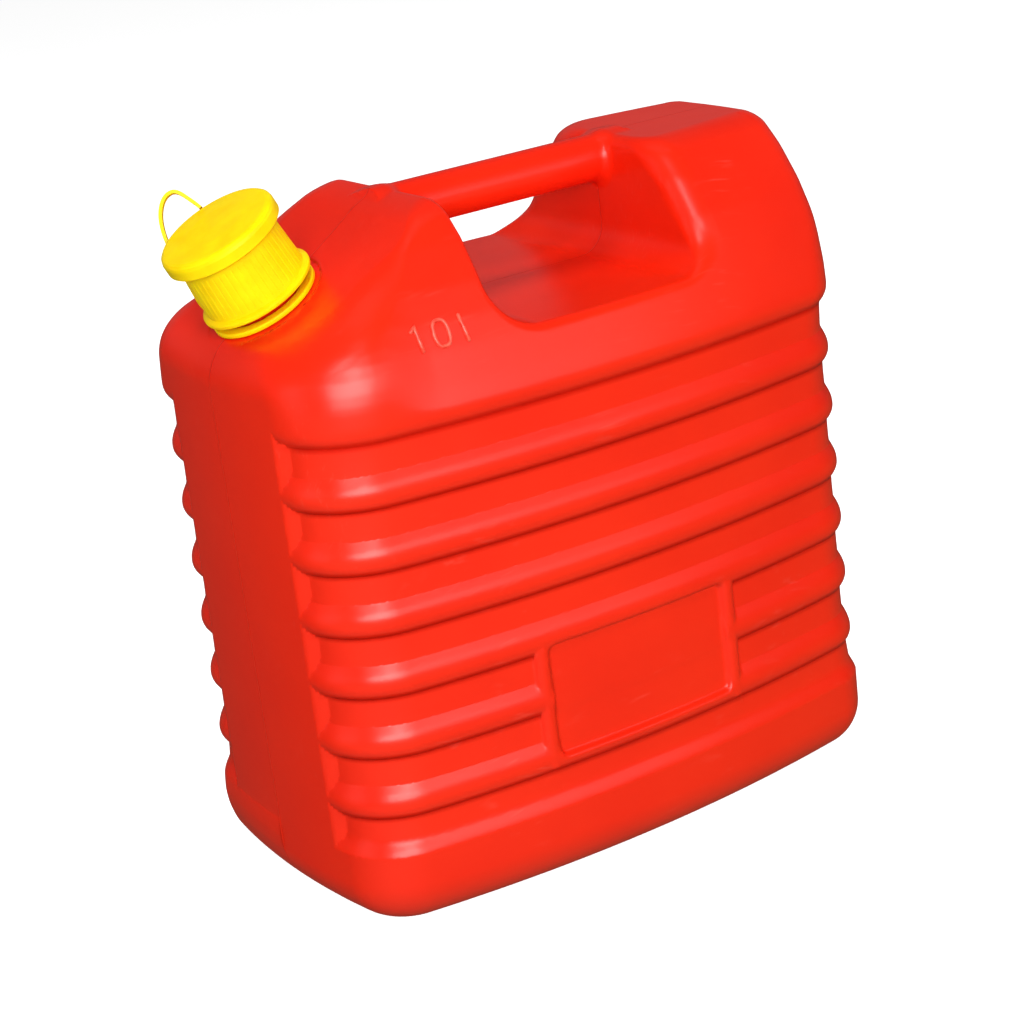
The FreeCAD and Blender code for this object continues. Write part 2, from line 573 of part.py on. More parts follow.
# ---------------------------------------------------------------- closure
col = new_body("screw_collar")
sk = new_sketch(col, "collar_section", "XZ_Plane")
polygon(sk, [(q("collar_in") + 0.7, "collar_s0"), (q("collar_rim_r") - 0.5, "collar_s0"),
             ("collar_rim_r", q("collar_s0") + 0.5), ("collar_rim_r", q("collar_s0") + 1.6),
             (q("collar_rim_r") - 0.6, q("collar_s0") + 2.1), ("collar_low_r", q("collar_s0") + 2.7),
             ("collar_top_r", "collar_panel_s"), ("collar_top_r", q("collar_up_s") - 0.6),
             (q("collar_top_r") - 0.6, "collar_up_s"), (q("collar_up_in") + 0.4, "collar_up_s"),
             ("collar_up_in", q("collar_up_s") - 0.4), ("collar_up_in", q("collar_panel_s") + q("collar_panel_t")),
             ("collar_hole", q("collar_panel_s") + q("collar_panel_t")), ("collar_hole", "collar_panel_s"),
             ("collar_in", "collar_panel_s"), ("collar_in", q("collar_s0") + 0.8)])
revolve(col, sk, "collar_wall")
doc.recompute()
# shallow grip grooves down the tapered skirt
lean_c = math.degrees(math.atan2(D["collar_low_r"] - D["collar_top_r"], D["collar_panel_s"] - D["collar_s0"] - 2.7))
gs = new_sketch(col, "grip_groove", place=FreeCAD.Placement(
    V(D["collar_low_r"] - 0.06, 0, D["collar_s0"] + 4.2), FreeCAD.Rotation(V(0, 1, 0), -lean_c)))
cid = gs.addGeometry(Part.Circle(V(0.55, 0, 0), V(0, 0, 1), 0.76), False)
gs.addConstraint(Sketcher.Constraint("PointOnObject", cid, 3, -1))
bind(gs, "DistanceX", (-1, 1, cid, 3), 0.55, "cx")
bind(gs, "Radius", (cid,), 0.76, "groove")
before = col.Tip.Shape.Volume
gp = col.newObject("PartDesign::Pocket", "grip_cut")
gp.Profile = gs
gp.Length = 19.0
gp.Reversed = True
doc.recompute()
print("grip cut", gp.State, before - gp.Shape.Volume)
pp = col.newObject("PartDesign::PolarPattern", "grip_grooves")
pp.Originals = [gp]
pp.Axis = (plane_of(col, "Z_Axis"), [""])
pp.Angle = 360
pp.Occurrences = 48
col.Tip = pp
doc.recompute()
print("grooves", pp.State, before - pp.Shape.Volume)
th = helix(col, "collar_thread", "collar_in", "collar_crest", q("neck_thread_s") + 2.0, 2.6, 1.7, 0.9, -0.3)

spout = new_body("pour_spout")
sk = new_sketch(spout, "spout_section", "XZ_Plane")
polygon(sk, [(q("tube_top_r") - q("tube_wall"), q("flange_s") + q("flange_t")),
             (q("tube_tip_r") - q("tube_wall"), "tube_tip_s"), ("tube_tip_r", "tube_tip_s"),
             (q("tube_top_r") - 0.4, "tube_step_s"), ("tube_top_r", "flange_s"),
             ("flange_r", "flange_s"), ("flange_r", q("flange_s") + q("flange_t"))])
revolve(spout, sk, "spout_tube")

gasket = new_body("spout_gasket")
sk = new_sketch(gasket, "gasket_section", "XZ_Plane")
polygon(sk, [("gasket_in", "gasket_s"), ("gasket_out", "gasket_s"),
             ("gasket_out", q("gasket_s") + q("gasket_t")), ("gasket_in", q("gasket_s") + q("gasket_t"))])
revolve(gasket, sk, "gasket_ring")

lid = new_body("lid")
sk = new_sketch(lid, "lid_section", "XZ_Plane")
under = q("lid_s1") - q("lid_t")
polygon(sk, [(0.0, under), ("plug_in", under), ("plug_in", "plug_s"), (q("plug_out") - 0.6, "plug_s"),
             ("plug_out", q("plug_s") + 0.6), ("plug_out", under), ("lid_in", under), ("lid_in", "lid_s0"),
             (q("lid_r") - 0.7, "lid_s0"), ("lid_r", q("lid_s0") + 0.7), ("lid_r", q("lid_s1") - 2.6),
             (q("lid_r") - 0.35, q("lid_s1") - 1.3), (q("lid_r") - 1.3, q("lid_s1") - 0.4),
             (q("lid_r") - 2.6, "lid_s1"), (q("lid_r") * 0.5, q("lid_s1") + 0.7), (0.0, q("lid_s1") + 0.9)])
revolve(lid, sk, "lid_cap")

seal = new_body("lid_seal")
sk = new_sketch(seal, "seal_section", "XZ_Plane")
polygon(sk, [("seal_in", under - q("seal_t") - 0.1), ("seal_out", under - q("seal_t") - 0.1),
             ("seal_out", under - 0.1), ("seal_in", under - 0.1)])
revolve(seal, sk, "seal_ring")

ring = new_body("tether_ring")
sk = new_sketch(ring, "ring_section", "XZ_Plane")
polygon(sk, [("ring_in", "ring_s"), (q("ring_out") - 0.5, "ring_s"), ("ring_out", q("ring_s") + 0.5),
             ("ring_out", q("ring_s") + q("ring_t") - 0.5), (q("ring_out") - 0.5, q("ring_s") + q("ring_t")),
             ("ring_in", q("ring_s") + q("ring_t"))])
revolve(ring, sk, "ring_band")
doc.recompute()
for b in (col, spout, gasket, lid, seal, ring):
    b.Placement = tilt
doc.recompute()

# strap: up from the ring behind the collar, over in a loop and down to the lid's edge
pts = [(22.9, 121.0, 1.25), (25.4, 121.0, 1.6), (28.3, 120.5, 4.6), (29.3, 119.5, 12.0), (29.4, 118.0, 22.0),
       (29.9, 115.5, 30.0), (30.9, 111.5, 36.5), (32.2, 106.1, 41.3), (33.2, 100.8, 44.9), (34.0, 93.6, 48.2),
       (34.2, 87.2, 49.6), (33.6, 81.8, 49.2), (32.0, 78.1, 46.6), (30.4, 76.0, 43.8), (28.9, 74.0, 41.3),
       (27.5, 72.5, 39.0)]
cyl = [V(r * math.cos(math.radians(f)), r * math.sin(math.radians(f)), h) for r, f, h in pts]
spine = Part.BSplineCurve()
spine.interpolate(cyl)
hw, ht = D["strap_w"] / 2, D["strap_t"] / 2
flat = V(-0.2995, -0.8035, 0.5145)
sections = []
steps = 34
for k in range(steps + 1):
    u = spine.FirstParameter + (spine.LastParameter - spine.FirstParameter) * k / steps
    p, d = spine.value(u), spine.tangent(u)[0]
    f = math.atan2(p.y, p.x)
    hoop = V(-math.sin(f), math.cos(f), 0)
    g = min(1.0, max(0.0, (p.z - 4.0) / 30.0))
    g = g * g * (3 - 2 * g)
    w = hoop * (1 - g) + flat * g
    w = (w - d * w.dot(d)).normalize()
    n = d.cross(w).normalize()
    c = [p + w * a + n * b2 for a, b2 in ((-hw, -ht), (hw, -ht), (hw, ht), (-hw, ht))]
    sections.append(Part.makePolygon(c + [c[0]]))
body = Part.makeLoft(sections, True, False)
print("strap", body.isValid(), body.Volume, body.ShapeType)
strap = doc.addObject("Part::Feature", "tether_strap")
strap.Shape = body
strap.Placement = tilt
strap.Label = "tether_strap"
doc.recompute()

nodes = {"canister": can, "screw_collar": col, "pour_spout": spout, "spout_gasket": gasket,
         "lid": lid, "lid_seal": seal, "tether_ring": ring, "tether_strap": strap}
for name in ("lid", "screw_collar", "canister", "tether_ring"):
    o = nodes[name]
    com = strap.Shape.common(o.Shape).Volume
    print("strap to", name, "gap %.3f" % strap.Shape.distToShape(o.Shape)[0], "overlap %.4f" % com)
for o in doc.Objects:
    bad = [x for x in o.State if x in ("Invalid", "Error")]
    if bad:
        raise RuntimeError("%s: %s" % (o.Name, o.State))
os.makedirs("parts", exist_ok=True)
for name, o in nodes.items():
    sh = o.Shape
    if sh.isNull() or not sh.isValid() or len(sh.Solids) != 1:
        print("BAD", name, sh.isNull(), sh.isValid(), len(sh.Solids))
    sh.exportStep("parts/" + name + ".step")
    bb = sh.optimalBoundingBox(False)
    print(name, round(sh.Volume / 1000.0, 2), "cm3", [round(v, 1) for v in (bb.XMin, bb.XMax, bb.YMin, bb.YMax, bb.ZMin, bb.ZMax)])
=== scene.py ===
import math

import bpy
import numpy as np
from mathutils import Matrix, Vector


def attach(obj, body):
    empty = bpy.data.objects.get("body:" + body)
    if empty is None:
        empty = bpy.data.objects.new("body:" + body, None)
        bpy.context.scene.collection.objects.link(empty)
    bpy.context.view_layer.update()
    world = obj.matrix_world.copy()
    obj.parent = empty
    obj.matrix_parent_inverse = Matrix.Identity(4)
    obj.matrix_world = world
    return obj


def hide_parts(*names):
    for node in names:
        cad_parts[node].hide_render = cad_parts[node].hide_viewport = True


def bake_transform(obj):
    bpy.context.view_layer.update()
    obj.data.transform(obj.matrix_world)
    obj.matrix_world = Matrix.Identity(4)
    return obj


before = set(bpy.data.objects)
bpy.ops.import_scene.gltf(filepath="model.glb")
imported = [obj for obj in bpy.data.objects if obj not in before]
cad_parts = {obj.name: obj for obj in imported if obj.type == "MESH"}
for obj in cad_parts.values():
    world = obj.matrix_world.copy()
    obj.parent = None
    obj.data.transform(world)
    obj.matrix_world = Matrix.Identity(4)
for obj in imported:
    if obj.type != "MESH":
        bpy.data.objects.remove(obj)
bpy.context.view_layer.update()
scene = bpy.context.scene
MM = 0.001

# ------------------------------------------------------------------ camera
AZ, EL, ROLL = math.radians(-31.711), math.radians(19.182), math.radians(-7.026)
DIST, FOCAL_PX = 1128.7, 2505.05
TARGET = Vector((-3.57, 0.0, 137.77))
back = Vector((math.sin(AZ) * math.cos(EL), -math.cos(AZ) * math.cos(EL), math.sin(EL)))
right0 = (-back).cross(Vector((0, 0, 1))).normalized()
up0 = right0.cross(-back).normalized()
cr, sr = math.cos(ROLL), math.sin(ROLL)
right1 = right0 * cr + up0 * sr
up1 = up0 * cr - right0 * sr
cam_data = bpy.data.cameras.new("camera")
cam = bpy.data.objects.new("camera", cam_data)
scene.collection.objects.link(cam)
cam_data.sensor_width = 36.0
cam_data.sensor_fit = "HORIZONTAL"
cam_data.lens = FOCAL_PX / 1024.0 * 36.0
cam_data.clip_start, cam_data.clip_end = 0.05, 20.0
loc = (TARGET + back * DIST) * MM
cam.matrix_world = Matrix(((right1.x, up1.x, back.x, loc.x), (right1.y, up1.y, back.y, loc.y),
                           (right1.z, up1.z, back.z, loc.z), (0, 0, 0, 1)))
scene.camera = cam

# ------------------------------------------------------------------ sizes, mm
LEN, WID, TOP = 282.0, 175.0, 297.0
RW, RN, RC, RB = 675.0, 380.0, 30.0, 21.5
FLOOR, X0, X1 = 244.4, -46.0, 62.0
HZ, HR = 286.95, 10.35
NX, NZ, TILT = -109.9, 261.8, math.radians(26.3)
SI, CO = math.sin(TILT), math.cos(TILT)
LINE0, PITCH, HALF, DEP, BAND = 214.45, 27.0, 8.1, 2.85, 10.8
FX, FB, FZ0, FZ1 = 45.9, 7.2, 58.7, 109.6

# half width of the body against height, at the middle of the wide face
ZT = np.array([0, 205, 214.4, 222.4, 230, 244, 254.4, 266.9, 274.1, 282.5, 291.8, 297, 303])
YT = np.array([87.5, 87.5, 87.5, 87.2, 84.9, 80.1, 76.0, 69.7, 64.9, 59.4, 50.5, 44.5, 37.0])
# reach of the closed end against height
ZR = np.array([0, 215, 232, 250, 270, 289, 303])
XR = np.array([141, 141.3, 141.8, 141.3, 138.4, 135.3, 132.9])


def smooth_table(z, v, n=640):
    """Fine, gently smoothed copy of a measured profile."""
    zz = np.linspace(z[0], z[-1], n)
    vv = np.interp(zz, z, v)
    k = np.exp(-np.linspace(-2, 2, 17) ** 2)
    k /= k.sum()
    pad = np.r_[np.full(8, vv[0]), vv, vv[-1] + (vv[-1] - vv[-2]) * np.arange(1, 9)]
    vv = np.convolve(pad, k, "valid")
    return zz, vv, np.gradient(vv, zz)


# radius of the upright corners against height: they tighten above the shoulder
ZC = np.array([-20, 45, 62, 203, 214, 222, 232, 244, 256, 270, 303])
CR = np.array([24.5, 24.5, 30.5, 30.5, 28.0, 25.0, 21.0, 17.0, 14.0, 12.0, 11.0])
# at the neck end they tighten less
CL = np.array([24.5, 24.5, 30.5, 30.5, 30.5, 30.0, 28.0, 26.0, 24.0, 23.0, 22.0])
# the corner between the front and the neck end is the softest one
CF = np.array([30.0, 31.0, 36.0, 36.0, 37.0, 40.0, 47.0, 54.0, 58.0, 60.0, 60.0])
YZ_, YV_, YD_ = smooth_table(ZT, YT)
XZ_, XV_, XD_ = smooth_table(ZR, XR)


def corner_table(xr, yh, rc):
    """Centres of corner arcs tangent to the bulged wide and narrow sides, one per height."""
    xc, yc = xr - RN, yh - RW
    a, b = xr - rc - 4, yh - rc - 6
    for _ in range(60):
        f1 = a * a + (b - yc) ** 2 - (RW - rc) ** 2
        f2 = (a - xc) ** 2 + b * b - (RN - rc) ** 2
        j11, j12, j21, j22 = 2 * a, 2 * (b - yc), 2 * (a - xc), 2 * b
        det = j11 * j22 - j12 * j21
        a, b = a - (f1 * j22 - f2 * j12) / det, b - (j11 * f2 - j21 * f1) / det
    return a, b


# how far the front shoulder at the neck end lags behind the taper
SZ, SV = smooth_table(np.array([200, 217, 231, 236, 241, 246, 250, 256, 262, 268, 274, 280, 300]),
                      np.array([0, 0, 7.6, 9.8, 11.2, 11.4, 10.5, 8.0, 5.0, 2.4, 0.8, 0, 0]))[:2]
ZG = np.linspace(-20, 320, 681)
GY, GYD = np.interp(ZG, YZ_, YV_), np.interp(ZG, YZ_, YD_)
GX, GXD = np.interp(ZG, XZ_, XV_), np.interp(ZG, XZ_, XD_)
GR = np.interp(ZG, ZC, CR)
GC = np.interp(ZG, ZC, CL)
GF = np.interp(ZG, ZC, CF)
GL = np.full_like(ZG, 141.0)
AR, BR = corner_table(GX, GY, GR)
AL, BL = corner_table(GL, GY, GC)
AF, BF = corner_table(GL, GY, GF)


def plan_distance(x, y, z):
    """Distance to the outline of eight tangent arcs that the body has at each height."""
    ax, ay = np.abs(x), np.abs(y)
    # the shoulder over the front corner at the neck end is fuller: it stays upright longer
    z = z - np.interp(z, SZ, SV) * step(-78, -106, x) * step(-4, -30, y)
    t = np.clip((z + 20) * 2, 0, 679.999)
    i = t.astype(int)
    t = t - i
    at = lambda tab: tab[i] + (tab[i + 1] - tab[i]) * t
    right = x > 0
    front = (x <= 0) & (y < 0)
    pick = lambda r, f, c: np.where(right, at(r), np.where(front, at(f), at(c)))
    yh, yd, rc = at(GY), at(GYD), pick(GR, GF, GC)
    xr = np.where(right, at(GX), 141.0)
    xd = np.where(right, at(GXD), 0.0)
    a, b = pick(AR, AF, AL), pick(BR, BF, BL)
    xc, yc = xr - RN, yh - RW
    kw, kn = 1 / np.sqrt(1 + yd * yd), 1 / np.sqrt(1 + xd * xd)
    dw = (np.hypot(ax, ay - yc) - RW) * kw
    dn = (np.hypot(ax - xc, ay) - RN) * kn
    vx, vy = ax - a, ay - b
    wx, wy = a, b - yc
    nx, ny = a - xc, b
    c1, c2 = nx * vy - ny * vx, vx * wy - vy * wx
    cone = (c1 >= 0) & (c2 >= 0) & (vx + vy > 0)
    f = np.clip(c1 / np.maximum(c1 + c2 * (RN / RW), 1e-9), 0, 1)
    dc = (np.hypot(vx, vy) - rc) * (kn + (kw - kn) * f)
    return np.where(cone, dc, np.maximum(dw, dn))


def rmax(a, b, r):
    """Intersection with a circular edge of radius r."""
    return np.minimum(-r, np.maximum(a, b)) + np.hypot(np.maximum(r + a, 0), np.maximum(r + b, 0))


def rmin(a, b, r):
    return -rmax(-a, -b, r)


def smax(a, b, k):
    h = np.clip(0.5 + 0.5 * (a - b) / k, 0, 1)
    return b + (a - b) * h + k * h * (1 - h)


def smin(a, b, k):
    return -smax(-a, -b, k)


def step(a, b, x):
    t = np.clip((x - a) / (b - a), 0, 1)
    return t * t * (3 - 2 * t)


def fine(points, n, lo, hi, width):
    """Dense, lightly smoothed copy of a measured profile given as (place, depth) pairs."""
    p = np.array(points, float)
    t = np.linspace(lo, hi, n)
    v = np.interp(t, p[:, 0], p[:, 1])
    w = max(1, int(width / (hi - lo) * n))
    k = np.exp(-(np.arange(-2 * w, 2 * w + 1) / w) ** 2)
    return t, np.convolve(np.pad(v, 2 * w, "edge"), k / k.sum(), "valid")


# sunk depth below the crests, against the distance under the line that closes each rib
CYCLE = [(d - 6.0, 7.8 - math.sqrt(7.8 ** 2 - d * d)) for d in np.linspace(0, 5.95, 14)]
CYCLE += [(0.1, 2.84), (0.5, 2.97), (1.2, 3.0), (3, 3.0), (6, 2.98), (9, 2.92), (11, 2.86), (12.15, 2.80), (12.5, 2.64), (13.2, 2.31),
          (14.0, 1.93), (15.0, 1.46), (16.0, 1.02), (17.0, 0.66), (18.0, 0.37), (19.0, 0.16), (20.0, 0.04), (21.0, 0.0)]
CYCLE = [(a - 27, b) for a, b in CYCLE] + CYCLE + [(a + 27, b) for a, b in CYCLE[1:]]
PT, PV = fine(CYCLE, 2161, -27, 54, 0.35)
# lower edge of the shoulder, above the first line
UT, UV = fine([(-6, 2.97), (0.2, 2.95), (0.9, 2.5), (1.8, 1.82), (2.8, 1.18), (3.8, 0.7), (4.8, 0.36), (5.8, 0.15), (7.0, 0.04),
               (8.4, 0), (30, 0)], 721, -6, 30, 0.3)
# below the last line: sunk band, then the base band, which swells a little at mid height
LT, LV = fine([(-6, 2.6), (0, 2.95), (3, 3.05), (6.5, 3.0), (9.5, 2.8), (11.1, 2.35), (12.7, 1.62), (14.3, 0.85), (15.9, 0.22),
               (17.5, -0.28), (19, -0.5), (22, -0.8), (25.5, -1.0), (28.5, -0.85), (31.5, -0.5), (35, 0), (80, 0)], 1721, -6, 80, 0.35)


def rib_sink(z):
    """How far the wall lies under the rib crests at a height, for the whole stack of ribs."""
    ph = (LINE0 - z)
    mid = np.interp(np.mod(ph, PITCH), PT, PV)
    top = np.interp(-ph, UT, UV)
    low = np.interp(ph - 6 * PITCH, LT, LV)
    return np.where(z > LINE0 - 0.6, top, np.where(ph > 6 * PITCH + 0.6, low, mid))


def body_form(x, y, z, ribs=True, cut=None):
    ax, ay = np.abs(x), np.abs(y)
    plan = plan_distance(x, y, z)
    if ribs:
        sink = rib_sink(z)
        # the bands end on the upright corners: the narrow faces are smooth
        sink = np.where(ax > 95, np.minimum(sink, 3.6 * step(43.0, 52.0, ay)), sink)
        sink = sink * (1 + 0.17 * step(100, 122, -x) * (sink > 0) + 0.04 * step(100, 122, x))
        front = y < 0
        # label field on the front
        inside = rmax(ax - FX, np.abs(z - 0.5 * (FZ0 + FZ1)) - 0.5 * (FZ1 - FZ0), 3.6)
        field = step(0.9, -0.9, inside)
        sink_l = np.maximum(sink, DEP * field)
        bar = np.clip(1 - ((ax - FX - FB / 2) / (FB / 2)) ** 2, 0, 1) ** 0.5
        bar_z = step(FZ0 - 6.5, FZ0 - 3.5, z) * step(FZ1 + 3.5, FZ1 - 1.0, z)
        sink_l = np.minimum(sink_l, np.where((ax > FX) & (ax < FX + FB), DEP * (1 - bar * bar_z), 99.0))
        sink = np.where(front, sink_l, sink)
        plan = plan + sink
    d = rmax(plan, -z, RB)
    if cut is not None:
        rr = np.where(y < 0, 10.0, 19.0)
        d = rmax(d, cut, 3.2 + rr * step(54, 86, x + z - FLOOR))
    # top: neck platform and slope joined softly, under the flat top
    d_plat = -SI * (x - NX) + CO * (z - NZ)
    s36, c36 = math.sin(math.radians(36.0)), math.cos(math.radians(36.0))
    d_slope = -s36 * (x + 89.5) + c36 * (z - 271.9)
    d_top = smin(d_plat, d_slope, 5.0)
    d_top = rmax(d_top, z - TOP, 7.0)
    d_top = np.where(x > 10, z - TOP, d_top)
    # edge rounding: wide and soft on the front of the neck end, tighter elsewhere
    er = 12.5 + 5.0 * step(-134, -112, x) - 10.5 * step(-96, -66, x) - 1.0 * step(0, 30, x)
    er = er - (5.0 * step(-136, -112, x) - 5.0 * step(-72, -50, x)) * step(-8.0, -34.0, y)
    d = rmax(d, d_top, er)
    return d


def canister_form(x, y, z):
    # near wall of the recess: a crisp edge; far wall: wide roundings into both faces
    near = rmax(X0 - x, FLOOR - z, 20.5)
    far = rmax(x - X1, FLOOR - z, 13.0)
    d = np.where(x < 10, rmax(body_form(x, y, z), -near, 3.2), body_form(x, y, z, cut=-far))
    # handle tube, blended into both ends
    h = np.hypot(y, z - HZ) - HR
    h = np.maximum(h, np.maximum(X0 - 8 - x, x - X1 - 12))
    d = rmin(d, h, 4.5)
    # flat seat for the tether ring round the foot of the neck
    up = (z - NZ) * math.cos(TILT) - (x - NX) * math.sin(TILT)
    off = np.hypot((x - NX) * math.cos(TILT) + (z - NZ) * math.sin(TILT), y)
    seat = np.maximum(off - 26.5, 0.15 - up)
    return np.where((x < -75) & (off < 32), smax(d, -seat, 1.6), d)


# ------------------------------------------------------------------ meshing
def surface_mesh(fn, lo, hi, h, newton=3):
    """Closed mesh of fn = 0 by surface nets in a narrow band, pulled onto the surface."""
    lo, hi = np.array(lo, float), np.array(hi, float)
    n = np.ceil((hi - lo) / (4 * h)).astype(int) * 4 + 1
    ax = [lo[i] + h * np.arange(n[i]) for i in range(3)]
    cx = [a[2::4] for a in ax]
    gc = np.meshgrid(*cx, indexing="ij")
    dc = fn(gc[0].ravel(), gc[1].ravel(), gc[2].ravel()).reshape(gc[0].shape)
    near = np.abs(dc) < 4 * h * 1.25 + 2.5
    big = np.repeat(np.repeat(np.repeat(dc, 4, 0), 4, 1), 4, 2)
    mask = np.repeat(np.repeat(np.repeat(near, 4, 0), 4, 1), 4, 2)
    field = np.full(n, 1e3)
    m = np.zeros(n, bool)
    s = tuple(slice(0, min(n[i], big.shape[i])) for i in range(3))
    field[s] = big[s]
    m[s] = mask[s]
    idx = np.argwhere(m)
    pts = lo + idx * h
    vals = np.empty(len(pts))
    for a in range(0, len(pts), 600000):
        p = pts[a:a + 600000]
        vals[a:a + 600000] = fn(p[:, 0], p[:, 1], p[:, 2])
    field[m] = vals
    sign = field < 0
    c = np.zeros(tuple(n - 1), np.int8)
    for i in (0, 1):
        for j in (0, 1):
            for k in (0, 1):
                c += sign[i:n[0] - 1 + i, j:n[1] - 1 + j, k:n[2] - 1 + k]
    cells = np.argwhere((c > 0) & (c < 8))
    ids = np.full(tuple(n - 1), -1, np.int64)
    ids[tuple(cells.T)] = np.arange(len(cells))
    acc = np.zeros((len(cells), 3))
    cnt = np.zeros(len(cells))
    for axis in range(3):
        o1, o2 = [i for i in range(3) if i != axis]
        for i in (0, 1):
            for j in (0, 1):
                p = cells.copy()
                p[:, o1] += i
                p[:, o2] += j
                r = p.copy()
                r[:, axis] += 1
                a, b = field[tuple(p.T)], field[tuple(r.T)]
                hit = (a < 0) != (b < 0)
                t = np.where(hit, a / np.where(hit, a - b, 1), 0)
                q = p.astype(float)
                q[:, axis] += t
                acc += q * hit[:, None]
                cnt += hit
    verts = lo + acc / cnt[:, None] * h
    quads = []
    for axis in range(3):
        o1, o2 = (axis + 1) % 3, (axis + 2) % 3
        sl = [slice(None)] * 3
        sl2 = [slice(None)] * 3
        sl[axis], sl2[axis] = slice(0, -1), slice(1, None)
        flip = sign[tuple(sl)] != sign[tuple(sl2)]
        e = np.argwhere(flip)
        e = e[(e[:, o1] > 0) & (e[:, o2] > 0) & (e[:, o1] < n[o1] - 1) & (e[:, o2] < n[o2] - 1)]
        inside = sign[tuple(e.T)]
        c00 = e.copy(); c00[:, o1] -= 1; c00[:, o2] -= 1
        c10 = e.copy(); c10[:, o2] -= 1
        c11 = e.copy()
        c01 = e.copy(); c01[:, o1] -= 1
        quad = np.stack([ids[tuple(v.T)] for v in (c00, c10, c11, c01)], 1)
        quad[~inside] = quad[~inside][:, ::-1]
        quads.append(quad)
    quads = np.vstack(quads)
    quads = quads[(quads >= 0).all(1)]
    e = 0.05
    for _ in range(newton):
        f0 = fn(verts[:, 0], verts[:, 1], verts[:, 2])
        g = np.stack([fn(verts[:, 0] + e * (i == 0), verts[:, 1] + e * (i == 1), verts[:, 2] + e * (i == 2)) - f0
                      for i in range(3)], 1) / e
        mv = -(f0 / np.maximum((g * g).sum(1), 0.25))[:, None] * g
        ln = np.linalg.norm(mv, axis=1)
        mv *= np.minimum(1, 0.45 * h / np.maximum(ln, 1e-9))[:, None]
        verts = verts + mv
    return verts, quads


def revolve(profile, n=128, close=True):
    """Vertices and quads of a profile of (radius, height) turned about the local Z axis."""
    prof = np.array(profile, float)
    t = np.linspace(0, 2 * math.pi, n, endpoint=False)
    v = np.stack([np.outer(np.cos(t), prof[:, 0]), np.outer(np.sin(t), prof[:, 0]),
                  np.broadcast_to(prof[:, 1], (n, len(prof)))], 2).reshape(-1, 3)
    m = len(prof)
    rng = range(m if close else m - 1)
    q = [(i * m + j, ((i + 1) % n) * m + j, ((i + 1) % n) * m + (j + 1) % m, i * m + (j + 1) % m)
         for i in range(n) for j in rng]
    return v, np.array(q)


def tilted(v):
    """From the neck's own frame (Z along its axis, X uphill) to the row frame, in mm."""
    v = np.asarray(v, float)
    return np.stack([NX + CO * v[:, 0] - SI * v[:, 2], v[:, 1], NZ + SI * v[:, 0] + CO * v[:, 2]], 1)


def form_normal(p):
    g = np.empty_like(p)
    for a in range(0, len(p), 400000):
        q = p[a:a + 400000].T
        f0 = canister_form(*q)
        for i in range(3):
            d = np.zeros((3, 1))
            d[i] = 0.04
            g[a:a + 400000, i] = canister_form(*(q + d)) - f0
    return g / np.maximum(np.linalg.norm(g, axis=1), 1e-9)[:, None]


def make_object(name, verts, faces, mat, smooth=True, outer=0, bend=0.0):
    me = bpy.data.meshes.new(name)
    me.from_pydata((np.asarray(verts) * MM).tolist(), [], [tuple(int(i) for i in f if i >= 0) for f in faces])
    me.validate()
    me.update()
    if smooth:
        me.shade_smooth()
    if outer:
        # normals straight from the form; one per face at the crease lines and at the hollow edge of each rib
        co = np.empty(len(me.vertices) * 3)
        me.vertices.foreach_get("co", co)
        co = co.reshape(-1, 3) / MM
        nl = len(me.loops)
        lv = np.empty(nl, np.int32)
        me.loops.foreach_get("vertex_index", lv)
        ln = np.empty(nl * 3, np.float32)
        me.corner_normals.foreach_get("vector", ln)
        ln = ln.reshape(-1, 3)
        tot = np.empty(len(me.polygons), np.int32)
        me.polygons.foreach_get("loop_total", tot)
        cen = np.empty(len(me.polygons) * 3)
        me.polygons.foreach_get("center", cen)
        cen = np.repeat(cen.reshape(-1, 3) / MM, tot, axis=0)
        vn = form_normal(co[:outer])
        label = ((np.abs(co[:, 0]) < FX + FB + 2) & (co[:, 1] < -40) & (co[:, 2] > FZ0 - FB - 2)
                 & (co[:, 2] < FZ1 + FB + 2))
        mine = (lv < outer) & ~label[lv]
        ln[mine] = vn[lv[mine]]
        ph = LINE0 - 0.05 - co[:, 2]
        row = lambda s: np.abs(np.mod(ph - s + 0.5 * PITCH, PITCH) - 0.5 * PITCH) < 0.45
        wall = (np.abs(co[:, 1]) > 40) & (co[:, 2] < LINE0 + 2) & (co[:, 2] > 35) & (row(0) | row(bend))
        pick = mine & wall[lv]
        at = co[lv[pick]]
        ln[pick] = form_normal(at + np.where(row(bend)[lv[pick]], 1.0, 0.3)[:, None] * (cen[pick] - at))
        me.normals_split_custom_set(ln.tolist())
    ob = bpy.data.objects.new(name, me)
    scene.collection.objects.link(ob)
    me.materials.append(mat)
    return ob


def smooth_chain(pts, radius, seg=5):
    """Rounds the corners of a closed (r, z) profile; radius is one number or one per corner."""
    pts = [np.array(p, float) for p in pts]
    n = len(pts)
    rad = radius if hasattr(radius, "__len__") else [radius] * n
    out = []
    for i in range(n):
        a, b, c = pts[i - 1], pts[i], pts[(i + 1) % n]
        u, w = a - b, c - b
        lu, lw = np.linalg.norm(u), np.linalg.norm(w)
        if rad[i] <= 0 or lu < 1e-6 or lw < 1e-6:
            out.append(b)
            continue
        u, w = u / lu, w / lw
        ang = math.acos(max(-1, min(1, float(u @ w))))
        if ang > math.pi - 0.02:
            out.append(b)
            continue
        t = min(rad[i] / math.tan(ang / 2), 0.49 * lu, 0.49 * lw)
        p0, p1 = b + u * t, b + w * t
        for k in range(seg + 1):
            s = k / seg
            out.append((1 - s) ** 2 * p0 + 2 * s * (1 - s) * b + s * s * p1)
    return out


